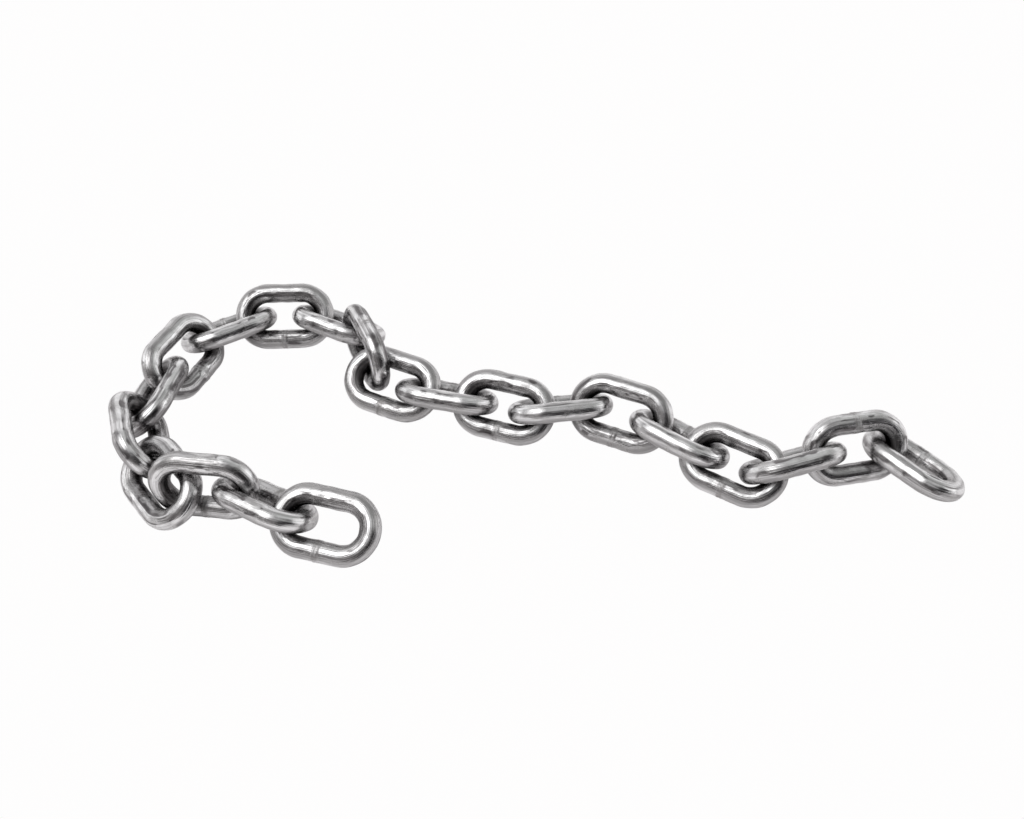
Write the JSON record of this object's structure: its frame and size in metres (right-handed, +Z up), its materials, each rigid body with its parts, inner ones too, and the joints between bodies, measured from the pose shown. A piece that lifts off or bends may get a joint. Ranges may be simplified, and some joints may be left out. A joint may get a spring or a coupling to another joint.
{
  "type": "length of round-link steel chain",
  "caption": "Length of polished stainless steel welded round-link chain, lying in a hook and a slack wavy run, each link a closed oval ring linked through its neighbours.",
  "frame": {"origin": "middle of the lying chain's box, at floor level", "axes": "+X along the run of the chain towards its far end, +Z up; the free end and the hook are at -X"},
  "size_m": [0.306, 0.1292, 0.0261],
  "materials": {
    "polished_steel": "polished"
  },
  "bodies": {
    "root": {"link_01": "polished_steel", "link_02": "polished_steel", "link_03": "polished_steel", "link_04": "polished_steel", "link_05": "polished_steel", "link_06": "polished_steel", "link_07": "polished_steel", "link_08": "polished_steel", "link_09": "polished_steel", "link_10": "polished_steel", "link_11": "polished_steel", "link_12": "polished_steel", "link_13": "polished_steel", "link_14": "polished_steel", "link_15": "polished_steel", "link_16": "polished_steel", "link_17": "polished_steel", "link_18": "polished_steel", "link_19": "polished_steel", "link_20": "polished_steel", "link_21": "polished_steel"}
  },
  "joints": []
}
